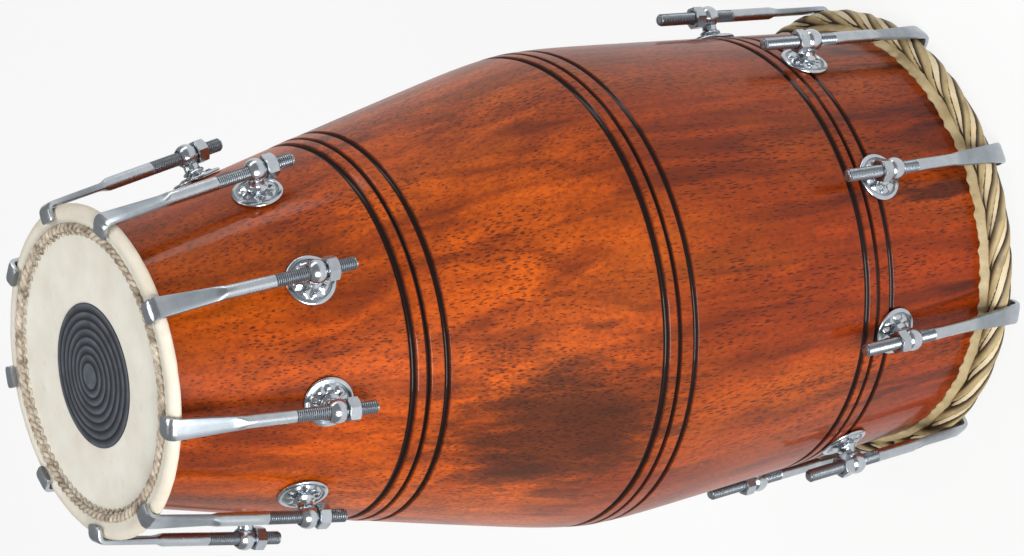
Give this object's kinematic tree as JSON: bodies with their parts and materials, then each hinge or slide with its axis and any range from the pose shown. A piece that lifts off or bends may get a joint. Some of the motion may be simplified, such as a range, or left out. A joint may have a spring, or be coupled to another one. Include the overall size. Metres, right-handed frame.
{
  "type": "two-headed drum",
  "caption": "Bolt-tuned naal drum: turned wooden shell, small treble head with black paste, wide pleated bass head, both held by steel hooks with nuts.",
  "frame": {"origin": "on the drum's axis, in the plane of the nine bass claws on which it stands", "axes": "+Z along the drum's axis towards the treble head; -Y faces the side that the picture shows"},
  "size_m": [0.3155, 0.3176, 0.5834],
  "materials": {
    "varnished_hardwood": "glossy varnish, orange to red-brown",
    "cream_hide": "matte scraped hide",
    "tan_hide": "matte pleated hide",
    "plain_iron": "plain",
    "black_paste": "dull black tuning paste",
    "plated_steel": "bright plating, duller on the blades"
  },
  "bodies": {
    "drum": {"shell": "varnished_hardwood", "treble_skin": "cream_hide", "treble_ring": "plain_iron", "treble_paste": "black_paste", "bass_skin": "tan_hide", "bass_ring": "plain_iron", "treble_lug_1": "plated_steel", "treble_lug_2": "plated_steel", "treble_lug_3": "plated_steel", "treble_lug_4": "plated_steel", "treble_lug_5": "plated_steel", "treble_lug_6": "plated_steel", "treble_lug_7": "plated_steel", "treble_lug_8": "plated_steel", "treble_lug_9": "plated_steel", "bass_lug_1": "plated_steel", "bass_lug_2": "plated_steel", "bass_lug_3": "plated_steel", "bass_lug_4": "plated_steel", "bass_lug_5": "plated_steel", "bass_lug_6": "plated_steel", "bass_lug_7": "plated_steel", "bass_lug_8": "plated_steel", "bass_lug_9": "plated_steel"},
    "treble_nut_1": {"treble_nut_1": "plated_steel"},
    "treble_hook_1": {"treble_hook_1": "plated_steel"},
    "treble_nut_2": {"treble_nut_2": "plated_steel"},
    "treble_hook_2": {"treble_hook_2": "plated_steel"},
    "treble_nut_3": {"treble_nut_3": "plated_steel"},
    "treble_hook_3": {"treble_hook_3": "plated_steel"},
    "treble_nut_4": {"treble_nut_4": "plated_steel"},
    "treble_hook_4": {"treble_hook_4": "plated_steel"},
    "treble_nut_5": {"treble_nut_5": "plated_steel"},
    "treble_hook_5": {"treble_hook_5": "plated_steel"},
    "treble_nut_6": {"treble_nut_6": "plated_steel"},
    "treble_hook_6": {"treble_hook_6": "plated_steel"},
    "treble_nut_7": {"treble_nut_7": "plated_steel"},
    "treble_hook_7": {"treble_hook_7": "plated_steel"},
    "treble_nut_8": {"treble_nut_8": "plated_steel"},
    "treble_hook_8": {"treble_hook_8": "plated_steel"},
    "treble_nut_9": {"treble_nut_9": "plated_steel"},
    "treble_hook_9": {"treble_hook_9": "plated_steel"},
    "bass_nut_1": {"bass_nut_1": "plated_steel"},
    "bass_hook_1": {"bass_hook_1": "plated_steel"},
    "bass_nut_2": {"bass_nut_2": "plated_steel"},
    "bass_hook_2": {"bass_hook_2": "plated_steel"},
    "bass_nut_3": {"bass_nut_3": "plated_steel"},
    "bass_hook_3": {"bass_hook_3": "plated_steel"},
    "bass_nut_4": {"bass_nut_4": "plated_steel"},
    "bass_hook_4": {"bass_hook_4": "plated_steel"},
    "bass_nut_5": {"bass_nut_5": "plated_steel"},
    "bass_hook_5": {"bass_hook_5": "plated_steel"},
    "bass_nut_6": {"bass_nut_6": "plated_steel"},
    "bass_hook_6": {"bass_hook_6": "plated_steel"},
    "bass_nut_7": {"bass_nut_7": "plated_steel"},
    "bass_hook_7": {"bass_hook_7": "plated_steel"},
    "bass_nut_8": {"bass_nut_8": "plated_steel"},
    "bass_hook_8": {"bass_hook_8": "plated_steel"},
    "bass_nut_9": {"bass_nut_9": "plated_steel"},
    "bass_hook_9": {"bass_hook_9": "plated_steel"}
  },
  "joints": [
    {"name": "treble_hook_1_travel", "type": "slide", "parent": "drum", "child": "treble_hook_1", "axis": [-0.1705, -0.0194, 0.9852], "range_m": [0, 0.008]},
    {"name": "treble_nut_1_turn", "type": "hinge", "parent": "drum", "child": "treble_nut_1", "pos_m": [0.11625, 0.01324, 0.47519], "axis": [0.1705, 0.0194, -0.9852], "range_deg": [0, 2310]},
    {"name": "treble_hook_2_travel", "type": "slide", "parent": "drum", "child": "treble_hook_2", "axis": [-0.1181, -0.1245, 0.9852], "range_m": [0, 0.008]},
    {"name": "treble_nut_2_turn", "type": "hinge", "parent": "drum", "child": "treble_nut_2", "pos_m": [0.08054, 0.08487, 0.47519], "axis": [0.1181, 0.1245, -0.9852], "range_deg": [0, 2310]},
    {"name": "treble_hook_3_travel", "type": "slide", "parent": "drum", "child": "treble_hook_3", "axis": [-0.0105, -0.1713, 0.9852], "range_m": [0, 0.008]},
    {"name": "treble_nut_3_turn", "type": "hinge", "parent": "drum", "child": "treble_nut_3", "pos_m": [0.00714, 0.11678, 0.47519], "axis": [0.0105, 0.1713, -0.9852], "range_deg": [0, 2310]},
    {"name": "treble_hook_4_travel", "type": "slide", "parent": "drum", "child": "treble_hook_4", "axis": [0.1021, -0.138, 0.9852], "range_m": [0, 0.008]},
    {"name": "treble_nut_4_turn", "type": "hinge", "parent": "drum", "child": "treble_nut_4", "pos_m": [-0.0696, 0.09405, 0.47519], "axis": [-0.1021, 0.138, -0.9852], "range_deg": [0, 2310]},
    {"name": "treble_hook_5_travel", "type": "slide", "parent": "drum", "child": "treble_hook_5", "axis": [0.1669, -0.0401, 0.9852], "range_m": [0, 0.008]},
    {"name": "treble_nut_5_turn", "type": "hinge", "parent": "drum", "child": "treble_nut_5", "pos_m": [-0.11377, 0.02731, 0.47519], "axis": [-0.1669, 0.0401, -0.9852], "range_deg": [0, 2310]},
    {"name": "treble_hook_6_travel", "type": "slide", "parent": "drum", "child": "treble_hook_6", "axis": [0.1536, 0.0766, 0.9852], "range_m": [0, 0.008]},
    {"name": "treble_nut_6_turn", "type": "hinge", "parent": "drum", "child": "treble_nut_6", "pos_m": [-0.10471, -0.05221, 0.47519], "axis": [-0.1536, -0.0766, -0.9852], "range_deg": [0, 2310]},
    {"name": "treble_hook_7_travel", "type": "slide", "parent": "drum", "child": "treble_hook_7", "axis": [0.0684, 0.1574, 0.9852], "range_m": [0, 0.008]},
    {"name": "treble_nut_7_turn", "type": "hinge", "parent": "drum", "child": "treble_nut_7", "pos_m": [-0.04665, -0.1073, 0.47519], "axis": [-0.0684, -0.1574, -0.9852], "range_deg": [0, 2310]},
    {"name": "treble_hook_8_travel", "type": "slide", "parent": "drum", "child": "treble_hook_8", "axis": [-0.0487, 0.1645, 0.9852], "range_m": [0, 0.008]},
    {"name": "treble_nut_8_turn", "type": "hinge", "parent": "drum", "child": "treble_nut_8", "pos_m": [0.03323, -0.11218, 0.47519], "axis": [0.0487, -0.1645, -0.9852], "range_deg": [0, 2310]},
    {"name": "treble_hook_9_travel", "type": "slide", "parent": "drum", "child": "treble_hook_9", "axis": [-0.1431, 0.0947, 0.9852], "range_m": [0, 0.008]},
    {"name": "treble_nut_9_turn", "type": "hinge", "parent": "drum", "child": "treble_nut_9", "pos_m": [0.09757, -0.06458, 0.47519], "axis": [0.1431, -0.0947, -0.9852], "range_deg": [0, 2310]},
    {"name": "bass_hook_1_travel", "type": "slide", "parent": "drum", "child": "bass_hook_1", "axis": [-0.0598, -0.003, -0.9982], "range_m": [0, 0.008]},
    {"name": "bass_nut_1_turn", "type": "hinge", "parent": "drum", "child": "bass_nut_1", "pos_m": [0.15359, 0.00778, 0.10297], "axis": [0.0598, 0.003, 0.9982], "range_deg": [0, 2310]},
    {"name": "bass_hook_2_travel", "type": "slide", "parent": "drum", "child": "bass_hook_2", "axis": [-0.0439, -0.0408, -0.9982], "range_m": [0, 0.008]},
    {"name": "bass_nut_2_turn", "type": "hinge", "parent": "drum", "child": "bass_nut_2", "pos_m": [0.11265, 0.10468, 0.10297], "axis": [0.0439, 0.0408, 0.9982], "range_deg": [0, 2310]},
    {"name": "bass_hook_3_travel", "type": "slide", "parent": "drum", "child": "bass_hook_3", "axis": [-0.0074, -0.0594, -0.9982], "range_m": [0, 0.008]},
    {"name": "bass_nut_3_turn", "type": "hinge", "parent": "drum", "child": "bass_nut_3", "pos_m": [0.01901, 0.1526, 0.10297], "axis": [0.0074, 0.0594, 0.9982], "range_deg": [0, 2310]},
    {"name": "bass_hook_4_travel", "type": "slide", "parent": "drum", "child": "bass_hook_4", "axis": [0.0325, -0.0503, -0.9982], "range_m": [0, 0.008]},
    {"name": "bass_nut_4_turn", "type": "hinge", "parent": "drum", "child": "bass_nut_4", "pos_m": [-0.08353, 0.12912, 0.10297], "axis": [-0.0325, 0.0503, 0.9982], "range_deg": [0, 2310]},
    {"name": "bass_hook_5_travel", "type": "slide", "parent": "drum", "child": "bass_hook_5", "axis": [0.0572, -0.0176, -0.9982], "range_m": [0, 0.008]},
    {"name": "bass_nut_5_turn", "type": "hinge", "parent": "drum", "child": "bass_nut_5", "pos_m": [-0.14699, 0.04522, 0.10297], "axis": [-0.0572, 0.0176, 0.9982], "range_deg": [0, 2310]},
    {"name": "bass_hook_6_travel", "type": "slide", "parent": "drum", "child": "bass_hook_6", "axis": [0.0552, 0.0233, -0.9982], "range_m": [0, 0.008]},
    {"name": "bass_nut_6_turn", "type": "hinge", "parent": "drum", "child": "bass_nut_6", "pos_m": [-0.14166, -0.05984, 0.10297], "axis": [-0.0552, -0.0233, 0.9982], "range_deg": [0, 2310]},
    {"name": "bass_hook_7_travel", "type": "slide", "parent": "drum", "child": "bass_hook_7", "axis": [0.0273, 0.0533, -0.9982], "range_m": [0, 0.008]},
    {"name": "bass_nut_7_turn", "type": "hinge", "parent": "drum", "child": "bass_nut_7", "pos_m": [-0.07006, -0.1369, 0.10297], "axis": [-0.0273, -0.0533, 0.9982], "range_deg": [0, 2310]},
    {"name": "bass_hook_8_travel", "type": "slide", "parent": "drum", "child": "bass_hook_8", "axis": [-0.0134, 0.0584, -0.9982], "range_m": [0, 0.008]},
    {"name": "bass_nut_8_turn", "type": "hinge", "parent": "drum", "child": "bass_nut_8", "pos_m": [0.03433, -0.1499, 0.10297], "axis": [0.0134, -0.0584, 0.9982], "range_deg": [0, 2310]},
    {"name": "bass_hook_9_travel", "type": "slide", "parent": "drum", "child": "bass_hook_9", "axis": [-0.0478, 0.0361, -0.9982], "range_m": [0, 0.008]},
    {"name": "bass_nut_9_turn", "type": "hinge", "parent": "drum", "child": "bass_nut_9", "pos_m": [0.12266, -0.09276, 0.10297], "axis": [0.0478, -0.0361, 0.9982], "range_deg": [0, 2310]}
  ],
  "couplings": [
    {"joint": "treble_nut_1_turn", "follows": "treble_hook_1_travel", "rad_per_m": 5026.5},
    {"joint": "treble_nut_2_turn", "follows": "treble_hook_2_travel", "rad_per_m": 5026.5},
    {"joint": "treble_nut_3_turn", "follows": "treble_hook_3_travel", "rad_per_m": 5026.5},
    {"joint": "treble_nut_4_turn", "follows": "treble_hook_4_travel", "rad_per_m": 5026.5},
    {"joint": "treble_nut_5_turn", "follows": "treble_hook_5_travel", "rad_per_m": 5026.5},
    {"joint": "treble_nut_6_turn", "follows": "treble_hook_6_travel", "rad_per_m": 5026.5},
    {"joint": "treble_nut_7_turn", "follows": "treble_hook_7_travel", "rad_per_m": 5026.5},
    {"joint": "treble_nut_8_turn", "follows": "treble_hook_8_travel", "rad_per_m": 5026.5},
    {"joint": "treble_nut_9_turn", "follows": "treble_hook_9_travel", "rad_per_m": 5026.5},
    {"joint": "bass_nut_1_turn", "follows": "bass_hook_1_travel", "rad_per_m": 5026.5},
    {"joint": "bass_nut_2_turn", "follows": "bass_hook_2_travel", "rad_per_m": 5026.5},
    {"joint": "bass_nut_3_turn", "follows": "bass_hook_3_travel", "rad_per_m": 5026.5},
    {"joint": "bass_nut_4_turn", "follows": "bass_hook_4_travel", "rad_per_m": 5026.5},
    {"joint": "bass_nut_5_turn", "follows": "bass_hook_5_travel", "rad_per_m": 5026.5},
    {"joint": "bass_nut_6_turn", "follows": "bass_hook_6_travel", "rad_per_m": 5026.5},
    {"joint": "bass_nut_7_turn", "follows": "bass_hook_7_travel", "rad_per_m": 5026.5},
    {"joint": "bass_nut_8_turn", "follows": "bass_hook_8_travel", "rad_per_m": 5026.5},
    {"joint": "bass_nut_9_turn", "follows": "bass_hook_9_travel", "rad_per_m": 5026.5}
  ]
}
